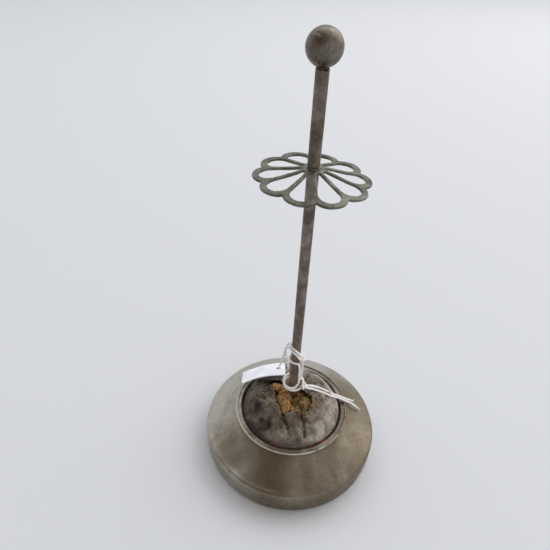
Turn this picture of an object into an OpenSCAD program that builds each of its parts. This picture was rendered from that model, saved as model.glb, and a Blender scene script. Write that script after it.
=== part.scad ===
// Hatpin stand: a weighted round base with an inset velvet pincushion, a slim
// stem, a pierced disc that hatpins drop through, and a ball finial that
// unscrews. A shopkeeper's card tag is tied round the stem with cotton thread.
// Millimetres, +Z up, origin at the centre of the underside.

/* [Base] */
// Diameter of the spun base
base_d = 76; // [74:0.5:77]
// Height at which the straight skirt turns into the shoulder
skirt_h = 9.6; // [8.6:0.1:10]
// Thickness of the spun sheet
sheet = 0.8; // [0.6:0.1:1]
// Diameter of the raised collar round the cushion
collar_d = 49.4; // [48.8:0.2:50.4]
// Height of the top of the shell, on which the collar sits
shell_top = 20; // [19.6:0.1:20.6]

/* [Cushion] */
// Diameter of the velvet cushion
cushion_d = 43.6; // [42:0.2:44]
// Height of the crown of the cushion
cushion_top = 29.6; // [28:0.2:32]

/* [Stem] */
// Diameter of the stem tubes
stem_d = 3.8; // [3.4:0.1:4]
// Diameter of the threaded rod inside the stem
rod_d = 2.2; // [2:0.1:2.4]
// Height of the top of the lower tube
lower_stem_top = 134.6; // [125:0.2:145]
// Length of the upper tube
upper_stem_len = 27.8; // [24:0.2:32]

/* [Disc] */
// Number of petals and of pin openings
petals = 10; // [8:1:11]
// Distance of each petal's centre from the stem
petal_ring_r = 13; // [12.8:0.1:13.3]
// Radius of a petal's outer edge
petal_r = 5.5; // [5.4:0.1:5.9]
// Radius of the round end of an opening
opening_r = 3.35; // [3.1:0.05:3.4]
// Thickness of the disc
disc_t = 0.9; // [0.7:0.1:1.2]
// Height by which the hub stands above the rim
disc_dish = 3.2; // [2.4:0.05:3.4]
// Turn of the disc from the front, in degrees
disc_turn = 2.8; // [0:0.2:18]

/* [Finial] */
// Diameter of the ball
ball_d = 10.2; // [9.4:0.1:11]
// Pitch of the thread that the ball screws on
pitch = 0.6; // [0.5:0.1:0.8]
// Turns that free the ball
free_turns = 7; // [5:1:8]

/* [Tag] */
// Diameter of the cotton thread
thread_d = 0.9; // [0.7:0.1:1]
// Length of the card tag
tag_len = 20; // [18:0.5:22]
// Width of the card tag
tag_w = 13; // [12:0.5:14]

/* [Hidden] */
$fn = 96;

gap = 0.05;                        // running clearance between parts
base_r = base_d / 2;
collar_r = collar_d / 2;
cushion_r = cushion_d / 2;
stem_r = stem_d / 2;
rod_r = rod_d / 2;
ball_r = ball_d / 2;

// Heights inside the base, from the table up
baize_t = 0.9;
plate_t = 0.6;
plate_z = baize_t;
weight_z = plate_z + plate_t;
nut_z = 2.6;
nut_h = 1.9;
nut_flats = 4.4;
washer_t = 0.4;
pocket_top = nut_z + nut_h + washer_t;
pocket_r = 4.2;
cup_floor_z = 13.5;
cup_t = 0.6;
cup_r = 22.75;
socket_z = cup_floor_z + cup_t;
socket_flange_t = 0.8;
socket_r = 3.2;
socket_top = 19;
stem_foot_z = 16;
board_z = 17.6;
board_t = 0.8;
cushion_z = board_z + board_t;
shoulder_r = 2;                    // radius of the rounded shoulder
cone_angle = 34;                   // slope of the base's conical top
curl_r = 1.2;                      // radius of the rolled lower edge
neck_r = collar_r - 0.7;           // the shell stops short of the collar's lip

// Heights up the stem
disc_seat_z = lower_stem_top + washer_t;
hub_z = disc_seat_z + gap;
hub_top = hub_z + disc_t;
top_washer_z = hub_top + gap;
upper_stem_z = top_washer_z + washer_t;
upper_stem_top = upper_stem_z + upper_stem_len;
finial_washer_z = upper_stem_top + gap;
ball_foot_z = finial_washer_z + washer_t + gap;
ball_neck_r = 1.95;
ball_z = ball_foot_z + sqrt(ball_r * ball_r - ball_neck_r * ball_neck_r);
stud_len = pitch * free_turns;
rod_top = ball_foot_z + stud_len;
rod_foot = nut_z - 0.4;

// Points along an arc about [x, z], from angle a to angle b
function arc(x, z, r, a, b, n = 6) = [for (i = [0 : n]) let (t = a + (b - a) * i / n)
    [x + r * cos(t), z + r * sin(t)]];

// ---- Base ----------------------------------------------------------------

// Outer surface of the shell from the rolled edge up to the neck, drawn in by "t"
function shell_line(t) = concat(
    arc(base_r - 0.45 - curl_r, 0.3 + curl_r, curl_r - t, -90, 0),
    arc(base_r - shoulder_r, skirt_h, shoulder_r - t, 0, 90 - cone_angle),
    let (foot = [base_r - shoulder_r + (shoulder_r - t) * sin(cone_angle),
                 skirt_h + (shoulder_r - t) * cos(cone_angle)],
         run = foot[0] - neck_r - 2)
    [[foot[0] - run, foot[1] + run * tan(cone_angle)],
     [neck_r + 0.7, shell_top - 0.7 - t * 0.7], [neck_r, shell_top - t * 0.4]]);

mark_angles = [151, 158, 165];     // three blank punch marks by the collar
mark_r = 28.6;

module punch_mark(angle) {
    depth = 0.15;
    height = skirt_h + shoulder_r * cos(cone_angle)
        + (base_r - shoulder_r + shoulder_r * sin(cone_angle) - mark_r) * tan(cone_angle);
    rotate([0, 0, angle]) translate([mark_r, 0, height]) rotate([0, cone_angle, 0])
        translate([0, 0, -depth]) cylinder(r = 0.75, h = 2);
}

module base_shell() color("#7d7563") difference() {
    rotate_extrude() polygon(concat(
        shell_line(0),
        [[neck_r, shell_top], [cup_r + 0.1, shell_top], [cup_r + 0.1, shell_top - sheet]],
        [for (i = [len(shell_line(sheet)) - 1 : -1 : 0]) shell_line(sheet)[i]]));
    for (angle = mark_angles) punch_mark(angle);
}

module collar_ring() color("#8b8474") rotate_extrude() polygon(concat(
    [[cup_r + 0.1, shell_top], [collar_r - 0.4, shell_top]],
    arc(collar_r - 0.4, shell_top + 0.4, 0.4, -90, 70),
    [[23.8, shell_top + 1.15]],
    arc(cup_r + 0.45, shell_top + 1.35, 0.35, 70, 180),
    [[cup_r + 0.1, shell_top + 1.2]]));

module cushion_cup() color("#8d8878") rotate_extrude() polygon([
    [rod_r + gap, cup_floor_z], [cup_r, cup_floor_z], [cup_r, shell_top - 0.1],
    [cup_r - cup_t, shell_top - 0.1], [cup_r - cup_t, socket_z], [rod_r + gap, socket_z]]);

module base_weight() color("#5b5d60") rotate_extrude() polygon([
    [pocket_r, weight_z], [base_r - 2.1, weight_z], [base_r - 1.3, skirt_h - 0.6],
    [cup_r + 1.2, shell_top - 2.3], [cup_r + 0.2, shell_top - 2.3],
    [cup_r + 0.2, cup_floor_z - gap], [rod_r + gap, cup_floor_z - gap],
    [rod_r + gap, pocket_top], [pocket_r, pocket_top]]);

module base_plate() color("#9a978c")
    translate([0, 0, plate_z]) cylinder(r = base_r - 1.9, h = plate_t);

module baize_pad() color("#2f4a39") cylinder(r = base_r - 2, h = baize_t);

// ---- Cushion -------------------------------------------------------------

// Height of the cushion's surface at radius r, for a skin drawn in by "t"
edge_z = shell_top + 0.9;
function crown(r, t) = edge_z - t + (cushion_top - edge_z)
    * pow(1 - pow(min(1, r / (cushion_r - t)), 2.3), 0.72);

function cushion_line(t) = concat(
    [[stem_r + 0.1, cushion_z], [cushion_r - t, cushion_z]],
    [for (s = [1, 0.985, 0.955, 0.91, 0.85, 0.77, 0.67, 0.55, 0.42, 0.28, 0.16])
        [(cushion_r - t) * s, crown((cushion_r - t) * s, t)]],
    [[stem_r + 0.1, crown(stem_r, t)]]);

skin_t = 1;
module cushion_body(t) rotate_extrude() polygon(cushion_line(t));

module cushion_cover() color("#5d5348") difference() {
    cushion_body(0);
    rotate_extrude() polygon(concat([[0, 0], [cushion_r - skin_t, 0]],
        [for (i = [1 : len(cushion_line(skin_t)) - 1]) cushion_line(skin_t)[i]],
        [[0, crown(stem_r, skin_t)]]));
}

module cushion_stuffing() color("#9a7a4c") difference() {
    cushion_body(skin_t + 0.02);
    translate([0, 0, cushion_z - 1]) cylinder(r = socket_r + 0.1, h = 1.8);
}

module cushion_board() color("#8b7357") translate([0, 0, board_z]) difference() {
    cylinder(r = cushion_r - 0.3, h = board_t);
    translate([0, 0, -1]) cylinder(r = socket_r + 0.1, h = board_t + 2);
}

groove = cup_r + 0.1 - cushion_r;
module velvet_piping() color("#6b2a33") rotate_extrude()
    translate([cushion_r + groove / 2, edge_z - 0.4]) circle(r = groove / 2 - 0.06, $fn = 24);

// The lump of stuffing that bulges out of the tear in front of the stem
tuft_at = [-2.9, -5.4, 26.2];
tuft_r = 4.6;
module stuffing_tuft() color("#97754c") difference() {
    translate(tuft_at) sphere(r = tuft_r, $fn = 48);
    rotate_extrude() polygon(concat([[0, 0], [cushion_r + 1, 0]],
        [for (i = [1 : len(cushion_line(0)) - 1]) cushion_line(0)[i] + [0, 0.02]],
        [[0, crown(stem_r, 0)]]));
}

// Snapped ends of dress pins, left in the velvet: [angle, radius, lean]
pins = [[212, 12.5, 12], [235, 14.5, -8], [300, 15, 10], [30, 11, -14]];
pin_r = 0.3;
module broken_pins() color("#c9c6be") for (p = pins)
    rotate([0, 0, p[0]]) translate([p[1], 0, crown(p[1], 0) - 2])
        rotate([0, p[2], 0]) cylinder(r = pin_r, h = 3, $fn = 16);

// ---- Stem ----------------------------------------------------------------

module tube(z, h, r, bore) translate([0, 0, z]) difference() {
    cylinder(r = r, h = h);
    translate([0, 0, -1]) cylinder(r = bore, h = h + 2);
}

module stem_socket() color("#8a7a4a") rotate_extrude() polygon([
    [rod_r + gap, socket_z], [6, socket_z], [6, socket_z + socket_flange_t],
    [socket_r, socket_z + socket_flange_t + 0.6], [socket_r, socket_top],
    [stem_r + gap, socket_top], [stem_r + gap, stem_foot_z], [rod_r + gap, stem_foot_z]]);

module lower_stem() color("#6a5a4b")
    tube(stem_foot_z, lower_stem_top - stem_foot_z, stem_r, rod_r + gap);

module upper_stem() color("#66594d")
    tube(upper_stem_z, upper_stem_len, stem_r, rod_r + gap);

module disc_seat_washer() color("#4f483f")
    tube(lower_stem_top, washer_t, 2.7, rod_r + gap);

module disc_top_washer() color("#a39d90")
    tube(top_washer_z, washer_t, 2.15, rod_r + gap);

// The rod's thread is drawn as rings one pitch apart
thread_depth = 0.18;
function thread_line(z0, n) = [for (i = [0 : n - 1]) for (q = [[0, 0], [-thread_depth, 0.5]])
    [rod_r + q[0], z0 + (i + q[1]) * pitch]];

module tie_rod() color("#77716a") rotate_extrude() polygon(concat(
    [[0, rod_foot], [rod_r - thread_depth, rod_foot]],
    [[rod_r, pocket_top + 0.4], [rod_r, ball_foot_z]],
    thread_line(ball_foot_z, free_turns),
    [[rod_r - thread_depth, rod_top], [0, rod_top]]));

module rod_nut() color("#75716a") translate([0, 0, nut_z]) difference() {
    cylinder(d = nut_flats / cos(30), h = nut_h, $fn = 6);
    translate([0, 0, -1]) cylinder(r = rod_r + gap, h = nut_h + 2);
}

module rod_washer() color("#87837a")
    tube(nut_z + nut_h, washer_t, 3.6, rod_r + gap);

// ---- Pierced disc --------------------------------------------------------

module petal_outline() {
    circle(r = petal_ring_r);
    for (i = [0 : petals - 1]) rotate(i * 360 / petals)
        translate([petal_ring_r, 0]) circle(r = petal_r);
}

// A teardrop: a round outer end, a small round inner end and straight sides
opening_ring_r = petal_ring_r + 0.1;
tip_r = 0.7;
tip_ring_r = 4.2;
module opening() {
    lean = asin((opening_r - tip_r) / (opening_ring_r - tip_ring_r));
    polygon(concat(arc(opening_ring_r, 0, opening_r, -90 - lean, 90 + lean, 18),
                   arc(tip_ring_r, 0, tip_r, 90 + lean, 270 - lean)));
}

// Fall of the disc's surface below the hub, as [radius, share of the dish]
dish = [[2.7, 0], [3.3, 0.04], [6, 0.28], [12, 0.72], [16.9, 0.98], [20, 1]];

seam_turn = 23;                    // keeps the dish's seam off the petals' corners
module pin_disc() color("#74736a") rotate([0, 0, disc_turn - 90]) difference() {
    intersection() {
        rotate([0, 0, seam_turn]) rotate_extrude() polygon(concat(
            [[rod_r + gap, hub_top]],
            [for (p = dish) [p[0], hub_top - p[1] * disc_dish]],
            [for (i = [len(dish) - 1 : -1 : 0])
                [dish[i][0], hub_z - dish[i][1] * disc_dish]],
            [[rod_r + gap, hub_z]]));
        translate([0, 0, hub_z - disc_dish - 1]) rotate(180 / petals)
            linear_extrude(disc_dish + disc_t + 2) petal_outline();
    }
    translate([0, 0, hub_z - disc_dish - 2]) linear_extrude(disc_dish + disc_t + 4)
        for (i = [0 : petals - 1]) rotate((i + 0.5) * 360 / petals) opening();
}

// ---- Finial --------------------------------------------------------------

module finial_washer() color("#8d8577")
    tube(finial_washer_z, washer_t, 1.85, rod_r + gap);

module ball_finial() color("#6a6257") difference() {
    translate([0, 0, ball_z]) sphere(r = ball_r);
    translate([0, 0, ball_foot_z - 10]) cylinder(r = 6, h = 10);
    translate([0, 0, ball_foot_z - 1]) cylinder(r = rod_r + gap, h = stud_len + 1.6);
}

// ---- Card tag and its thread ---------------------------------------------

// The thread's route, end to end: [angle round the stem, radius, height]
thread_route = [
    [12, 28.4, 18.9], [11.5, 24.2, 22], [13.5, 20.2, 24], [14.5, 16, 27], [19, 12.2, 29.2],
    [19, 8.4, 31.6], [8, 5.2, 34], [-13, 4, 35.2],
    [-60, 3.2, 35], [-100, 3.2, 35.1], [-150, 3.9, 35.8], [-190, 3.8, 36.6],
    [-250, 2.9, 37], [-320, 2.6, 37.2], [-346, 2.75, 38], [-362, 3, 40.4],
    [-368, 3.1, 46], [-372, 2.8, 51.4], [-396, 2.5, 54.8], [-450, 2.4, 58.2],
    [-500, 2.4, 59.6], [-540, 2.5, 60], [-572, 3.1, 59], [-585, 5, 55.4],
    [-596, 8, 47.5], [-601, 11.4, 38.2], [-601.8, 13.2, 33.2], [-601.8, 13.8, 30.2],
    [-606, 13.6, 28.9], [-613, 12.9, 29], [-618.5, 12.4, 30.6], [-618, 11.8, 34],
    [-611, 9.9, 41.5], [-594, 7, 49.5], [-576, 5.2, 54.2], [-560, 3.9, 56.6], [-540, 2.9, 57.8],
    [-515, 2.5, 58.1], [-450, 2.4, 56.4], [-405, 2.9, 53.2],
    [-390, 3.8, 53], [-372, 4, 52.6], [-340, 2.8, 52.4], [-270, 2.4, 52.2], [-180, 2.4, 51.6],
    [-90, 2.4, 51.2], [-56, 2.5, 50.2], [-42, 2.6, 47.6], [-38, 2.7, 43],
    [-46, 3, 39], [-90, 3.4, 36.9], [-140, 4.1, 37.3], [-190, 4, 38.3],
    [-250, 3.1, 38.8], [-310, 2.95, 38.8], [-334, 3.6, 38.6], [-358, 4.2, 37.6],
    [-374, 4.3, 36.4], [-362, 6.4, 33.6], [-350, 8.8, 31], [-350, 12.2, 28.9],
    [-352.5, 16, 27], [-350.5, 20.4, 24], [-351.5, 24, 22], [-351.5, 27.6, 19.4],
    [-353.5, 31, 16.8]];
max_step = 4;                      // longest stretch between two rings
max_turn = 52;                     // most turn about the stem between two rings

function place(p) = [p[1] * cos(p[0]), p[1] * sin(p[0]), p[2]];
function stretch(p, q) = max(1,
    ceil(abs(q[0] - p[0]) * min(1, 5 / p[1]) / max_turn),
    ceil(norm(place(q) - place(p)) / max_step));
line = concat([for (i = [0 : len(thread_route) - 2])
        let (p = thread_route[i], q = thread_route[i + 1], n = stretch(p, q))
        for (j = [0 : n - 1]) place(p + (q - p) * j / n)],
    [place(thread_route[len(thread_route) - 1])]);
rings = len(line);

function unit(v) = v / norm(v);
heading = [for (i = [0 : rings - 1])
    unit(line[min(i + 1, rings - 1)] - line[max(i - 1, 0)])];
function square_to(v, d) = unit(v - (v * d) * d);
across = [for (i = 0, v = square_to([0, 0, 1], heading[0]); i < rings;
    i = i + 1, v = i < rings ? square_to(v, heading[i]) : v) v];
sides = 8;

module tag_thread() color("#ece9e6") polyhedron(
    points = [for (i = [0 : rings - 1]) for (k = [0 : sides - 1])
        let (t = k * 360 / sides)
        line[i] + thread_d / 2 * (cos(t) * across[i] + sin(t) * cross(heading[i], across[i]))],
    faces = concat(
        [[for (k = [0 : sides - 1]) k]],
        [for (i = [0 : rings - 2]) for (k = [0 : sides - 1])
            let (a = i * sides + k, b = i * sides + (k + 1) % sides)
            [a, a + sides, b + sides, b]],
        [[for (k = [sides - 1 : -1 : 0]) (rings - 1) * sides + k]]));

// The knot draws both strands together beside the stem
knot_at = [4.15, -0.85, 35.8];
module thread_knot() color("#e6e2de") translate(knot_at) rotate([0, 115, -8])
    rotate_extrude() translate([0.85, 0]) circle(r = 0.55, $fn = 24);

// The tag hangs from its punched end, leaning back over the collar
tag_hole_at = [-6.5, 12, 30.8];
tag_t = 0.3;
hole_r = 1.1;
hole_in = 3;
module price_tag() color("#edeef2") translate(tag_hole_at)
    rotate([0, 0, 185]) rotate([0, 8.5, 0]) rotate([21.5, 0, 0]) translate([-hole_in, -tag_w / 2, 0])
        linear_extrude(tag_t) difference() {
            square([tag_len, tag_w]);
            translate([hole_in, tag_w / 2]) circle(r = hole_r, $fn = 24);
        }

base_shell();
collar_ring();
cushion_cup();
cushion_board();
cushion_stuffing();
cushion_cover();
velvet_piping();
stuffing_tuft();
broken_pins();
base_weight();
base_plate();
baize_pad();
stem_socket();
tie_rod();
rod_nut();
rod_washer();
lower_stem();
upper_stem();
disc_seat_washer();
disc_top_washer();
pin_disc();
finial_washer();
ball_finial();
tag_thread();
thread_knot();
price_tag();
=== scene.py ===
# %% [markdown]
# # A hatpin stand, finished piece by piece
# The stand has a weighted, silver-plated base with a velvet pincushion set into it. A slim stem
# carries a pierced disc that hatpins drop through, and a ball that unscrews. A shopkeeper's card
# tag is tied round the stem with cotton thread. The engineering model gives every size and every
# moving part. This lesson loads it, keeps the pieces whose shape is right, and rebuilds the ones
# whose surface needs more than a plain solid: dented sheet, torn velvet, twisted thread.

# %% Load the engineering model
import math
import random

import bmesh
import bpy
from mathutils import Matrix, Vector, noise
from mathutils.bvhtree import BVHTree


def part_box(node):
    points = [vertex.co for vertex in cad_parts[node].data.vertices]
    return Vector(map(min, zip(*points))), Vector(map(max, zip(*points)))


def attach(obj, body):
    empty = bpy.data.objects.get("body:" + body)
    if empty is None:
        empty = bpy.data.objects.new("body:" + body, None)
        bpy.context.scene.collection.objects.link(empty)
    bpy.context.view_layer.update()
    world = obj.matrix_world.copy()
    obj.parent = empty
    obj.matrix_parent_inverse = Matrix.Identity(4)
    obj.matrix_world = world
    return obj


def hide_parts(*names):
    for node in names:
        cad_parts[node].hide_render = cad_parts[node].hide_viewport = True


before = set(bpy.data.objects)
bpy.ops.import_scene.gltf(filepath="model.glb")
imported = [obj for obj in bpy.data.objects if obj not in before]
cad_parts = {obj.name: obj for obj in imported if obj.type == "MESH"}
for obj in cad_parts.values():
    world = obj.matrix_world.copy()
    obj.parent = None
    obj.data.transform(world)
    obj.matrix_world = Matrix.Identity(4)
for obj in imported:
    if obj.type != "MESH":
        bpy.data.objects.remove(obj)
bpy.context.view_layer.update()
MM = 0.001

# %% [markdown]
# ## The camera
# The viewer stands close and looks down at the stand, so the ball comes near the lens and the base
# looks small. Place, direction and lens are all that a camera needs. A rotation matrix is built from
# three directions: right, up and back.

# %% Camera
camera_place = Vector((-7.77, -132.97, 197.39)) * MM
camera_yaw = -0.0169
camera_pitch = 0.6599
camera_roll = 0.0475
ahead = Vector((math.sin(camera_yaw) * math.cos(camera_pitch),
                math.cos(camera_yaw) * math.cos(camera_pitch),
                -math.sin(camera_pitch)))
level = Vector((math.cos(camera_yaw), -math.sin(camera_yaw), 0))
upright = level.cross(ahead)
right = level * math.cos(camera_roll) + upright * math.sin(camera_roll)
up = upright * math.cos(camera_roll) - level * math.sin(camera_roll)

camera = bpy.data.objects.new("camera", bpy.data.cameras.new("camera"))
camera.data.sensor_width = 36
camera.data.lens = 31.02
camera.data.clip_start = 0.01
camera.matrix_world = Matrix.Translation(camera_place) @ Matrix((right, up, -ahead)).transposed().to_4x4()
bpy.context.collection.objects.link(camera)
bpy.context.scene.camera = camera
bpy.context.scene.view_settings.view_transform = "Standard"
print("camera", [round(c, 4) for c in camera_place], "lens", camera.data.lens)

# %% [markdown]
# ## Small helpers
# Every material below is a graph of nodes. Colours are written as the usual six-digit hex values, and
# Blender works in linear light, so one function converts them. One function adds a node with its
# settings and its links, and two more begin a material and join its last nodes to its shader. Another
# ends the making of every piece: it puts the mesh in the scene, gives it a material and a body to
# ride on, and hides the engineering pieces that it replaces.

# %% Helpers
def linear(hex_colour):
    """A '#rrggbb' colour as linear red, green, blue and alpha."""
    parts = [int(hex_colour[i:i + 2], 16) / 255 for i in (1, 3, 5)]
    return [c / 12.92 if c <= 0.04045 else ((c + 0.055) / 1.055) ** 2.4 for c in parts] + [1]


def link(tree, end, socket):
    """Joins a node's output to a socket. A node by itself stands for its first output."""
    tree.links.new(end.outputs[0] if isinstance(end, bpy.types.Node) else end, socket)


def add_node(tree, kind, inputs=None, stops=None, **settings):
    """Adds a node, with its settings, its input values or links, and a ramp's colour stops."""
    node = tree.nodes.new("ShaderNode" + kind)
    for name, value in settings.items():
        setattr(node, name, value)
    for key, value in (inputs or {}).items():
        if isinstance(value, (bpy.types.Node, bpy.types.NodeSocket)):
            link(tree, value, node.inputs[key])
        else:
            node.inputs[key].default_value = value
    for i, (place, shade) in enumerate(stops or []):
        element = node.color_ramp.elements[i] if i < 2 else node.color_ramp.elements.new(place)
        element.position = place
        element.color = linear(shade) if isinstance(shade, str) else (shade, shade, shade, 1)
    return node


def start_material(name, **constants):
    """A material with its shader's constants set. Gives the material and its nodes."""
    material = bpy.data.materials.new(name)
    material.use_nodes = True
    tree = material.node_tree
    shader = tree.nodes["Principled BSDF"]
    for key, value in constants.items():
        shader.inputs[key.replace("_", " ").title().replace("Ior", "IOR")].default_value = value
    return material, tree


def joined(material, colour, bump=None, polish=None):
    """Joins a colour, a bump and a roughness to a material's shader, and gives the material."""
    tree = material.node_tree
    for name, end in (("Base Color", colour), ("Normal", bump), ("Roughness", polish)):
        if end:
            link(tree, end, tree.nodes["Principled BSDF"].inputs[name])
    return material


def put(name, mesh, material, body="base", replaces=(), smooth=True):
    """Puts a finished mesh in the scene as a piece that rides on a body."""
    if isinstance(mesh, bmesh.types.BMesh):
        data = bpy.data.meshes.new(name)
        mesh.to_mesh(data)
        mesh.free()
    else:
        data = mesh
    data.polygons.foreach_set("use_smooth", [smooth] * len(data.polygons))
    data.materials.clear()
    data.materials.append(material)
    piece = bpy.data.objects.new(name, data)
    bpy.context.collection.objects.link(piece)
    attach(piece, body)
    if replaces:
        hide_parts(*replaces)
    print(f"{name}: {len(data.polygons)} faces")
    return piece


def fresh_normals(bm):
    """Merges doubles and turns every face outwards."""
    bmesh.ops.remove_doubles(bm, verts=bm.verts, dist=1e-6)
    bmesh.ops.recalc_face_normals(bm, faces=bm.faces)


def blotch(point, size, seed=0.0):
    """Smooth noise from about -1 to 1 that changes over a distance of size, in metres."""
    return noise.noise(Vector(point) / size + Vector((seed, seed * 1.7, -seed)))


def ease(low, high, value):
    """0 below low, 1 above high, and a soft step between them."""
    t = max(0.0, min(1.0, (value - low) / (high - low)))
    return t * t * (3 - 2 * t)


# %% [markdown]
# ## Cotton thread
# The thread is three-ply cotton, 0.9 mm thick, about 240 mm long, and limp. It comes from its first
# free end to the knot, round the foot of the stem, up and over to the tag's hole, back down, twice
# round the stem, through the knot again and out to its other end. The route is kept as angle round
# the stem, radius and height, because that is how a thread that is wound round a stem is thought of.
# The piece is a mesh tube whose outline has three lobes that turn as it runs along: the plies.

# %% The route, as angle in degrees, radius and height in millimetres
thread_route = [
    (12, 28.4, 18.9), (11.5, 24.2, 22), (13.5, 20.2, 24), (14.5, 16, 27), (19, 12.2, 29.2),
    (19, 8.4, 31.6), (8, 5.2, 34), (-13, 4, 35.2),
    (-60, 3.2, 35), (-100, 3.2, 35.1), (-150, 3.9, 35.8), (-190, 3.8, 36.6),
    (-250, 2.9, 37), (-320, 2.6, 37.2), (-346, 2.75, 38), (-362, 3, 40.4),
    (-368, 3.1, 46), (-372, 2.8, 51.4), (-396, 2.5, 54.8), (-450, 2.4, 58.2),
    (-500, 2.4, 59.6), (-540, 2.5, 60), (-572, 3.1, 59), (-585, 5, 55.4),
    (-596, 8, 47.5), (-601, 11.4, 38.2), (-601.8, 13.2, 33.2), (-601.8, 13.8, 30.2),
    (-606, 13.6, 28.9), (-613, 12.9, 29), (-618.5, 12.4, 30.6), (-618, 11.8, 34),
    (-611, 9.9, 41.5), (-594, 7, 49.5), (-576, 5.2, 54.2), (-560, 3.9, 56.6), (-540, 2.9, 57.8),
    (-515, 2.5, 58.1), (-450, 2.4, 56.4), (-405, 2.9, 53.2),
    (-390, 3.8, 53), (-372, 4, 52.6), (-340, 2.8, 52.4), (-270, 2.4, 52.2), (-180, 2.4, 51.6),
    (-90, 2.4, 51.2), (-56, 2.5, 50.2), (-42, 2.6, 47.6), (-38, 2.7, 43),
    (-46, 3, 39), (-90, 3.4, 36.9), (-140, 4.1, 37.3), (-190, 4, 38.3),
    (-250, 3.1, 38.8), (-310, 2.95, 38.8), (-334, 3.6, 38.6), (-358, 4.2, 37.6),
    (-374, 4.3, 36.4), (-362, 6.4, 33.6), (-350, 8.8, 31), (-350, 12.2, 28.9),
    (-352.5, 16, 27), (-350.5, 20.4, 24), (-351.5, 24, 22), (-351.5, 27.6, 19.4),
    (-353.5, 31, 16.8)]


def round_the_stem(angle, radius, height):
    a = math.radians(angle)
    return Vector((radius * math.cos(a), radius * math.sin(a), height)) * MM


def through(points, steps):
    """A smooth curve through points, by Catmull and Rom's formula, with steps to each stretch."""
    points = [Vector(p) for p in points]
    line = []
    for i in range(len(points) - 1):
        before, here, there, after = (points[max(0, min(len(points) - 1, k))] for k in range(i - 1, i + 3))
        for j in range(steps):
            t = j / steps
            line.append(0.5 * (2 * here + (there - before) * t
                               + (2 * before - 5 * here + 4 * there - after) * t * t
                               + (3 * here - before - 3 * there + after) * t ** 3))
    return line + [points[-1]]


def even(line, step):
    """The same line with its points a step apart."""
    spaced, owed = [line[0].copy()], step
    for a, b in zip(line, line[1:]):
        length = (b - a).length
        while owed <= length:
            spaced.append(a.lerp(b, owed / length))
            owed += step
        owed -= length
    return spaced


thread_step = 0.2 * MM
thread_line = even([round_the_stem(*p) for p in through(thread_route, 16)], thread_step)


# %% A tube along a line, for thread, fibres and knots
def sweep(bm, line, outline, closed=False):
    """Sweeps an outline along a line. outline(i, share) gives the ring's points across the line."""
    rings = []
    across = None
    count = len(line)
    for i, point in enumerate(line):
        a = line[(i - 1) % count] if closed else line[max(i - 1, 0)]
        b = line[(i + 1) % count] if closed else line[min(i + 1, count - 1)]
        heading = (b - a).normalized()
        if across is None:
            across = heading.orthogonal().normalized()
        across = (across - heading * across.dot(heading)).normalized()
        side = heading.cross(across)
        rings.append([bm.verts.new(point + across * x + side * y) for x, y in outline(i, i / (count - 1))])
    pairs = list(zip(rings, rings[1:] + rings[:1])) if closed else list(zip(rings, rings[1:]))
    for one, two in pairs:
        for k in range(len(one)):
            n = (k + 1) % len(one)
            bm.faces.new((one[k], one[n], two[n], two[k]))
    if not closed:
        bm.faces.new(rings[0][::-1])
        bm.faces.new(rings[-1])


def plies(radius, step, lay=2.6 * MM, lobes=3, points=15):
    """The outline of a twisted thread: a few lobes that turn once in every lay."""
    def outline(i, share):
        turn = i * step / lay * math.tau
        ring = []
        for k in range(points):
            a = k * math.tau / points
            r = radius * (0.87 + 0.13 * math.cos(lobes * (a - turn)))
            ring.append((r * math.cos(a), r * math.sin(a)))
        return ring
    return outline


# %% [markdown]
# White cotton is a diffuse, faintly fuzzy fibre. Its look is bright plies with soft grey valleys
# between them. The fuzz is too fine to model, so sheen gives the pale rim that it would.

# %% Cotton material
def white_fibres(name, patch, detail, shades, grain, strength, depth, **constants):
    """White plant fibre, spun or pressed: matt, a little soiled in patches, with a fine grain."""
    material, tree = start_material(name, **constants)
    where = add_node(tree, "TexCoord").outputs["Object"]
    soil = add_node(tree, "TexNoise", {"Vector": where, "Scale": 1 / patch, "Detail": detail})
    tint = add_node(tree, "ValToRGB", {"Fac": soil}, stops=shades)
    fibre = add_node(tree, "TexNoise", {"Vector": where, "Scale": 1 / grain, "Detail": 2.0})
    bump = add_node(tree, "Bump", {"Height": fibre, "Strength": strength, "Distance": depth})
    return joined(material, tint, bump)


cotton_thread = white_fibres("cotton_thread", 3.5 * MM, 3.0, [(0.3, "#e6e1de"), (0.62, "#fbf9f8")],
                             0.12 * MM, 0.5, 0.06 * MM, roughness=0.85, sheen_weight=0.35,
                             sheen_roughness=0.5)

# %% Thread, knot and frayed end
bm = bmesh.new()
sweep(bm, thread_line, plies(0.52 * MM, thread_step))
thread = put("cotton_thread", bm, cotton_thread, replaces=["tag_thread"])

knot_place = Vector((4.15, -0.85, 35.8)) * MM
knot_turn = Matrix.Rotation(math.radians(115), 4, "Y") @ Matrix.Rotation(math.radians(-8), 4, "Z")
knot_line = []
for i in range(120):
    t = i * math.tau / 120
    loop = Vector((math.sin(t) + 2 * math.sin(2 * t), math.cos(t) - 2 * math.cos(2 * t),
                   -1.15 * math.sin(3 * t)))
    knot_line.append(knot_place + knot_turn @ (loop * 0.47 * MM))
bm = bmesh.new()
sweep(bm, knot_line, plies(0.48 * MM, 0.25 * MM), closed=True)
fresh_normals(bm)
knot = put("overhand_knot", bm, cotton_thread, replaces=["thread_knot"])

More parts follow.
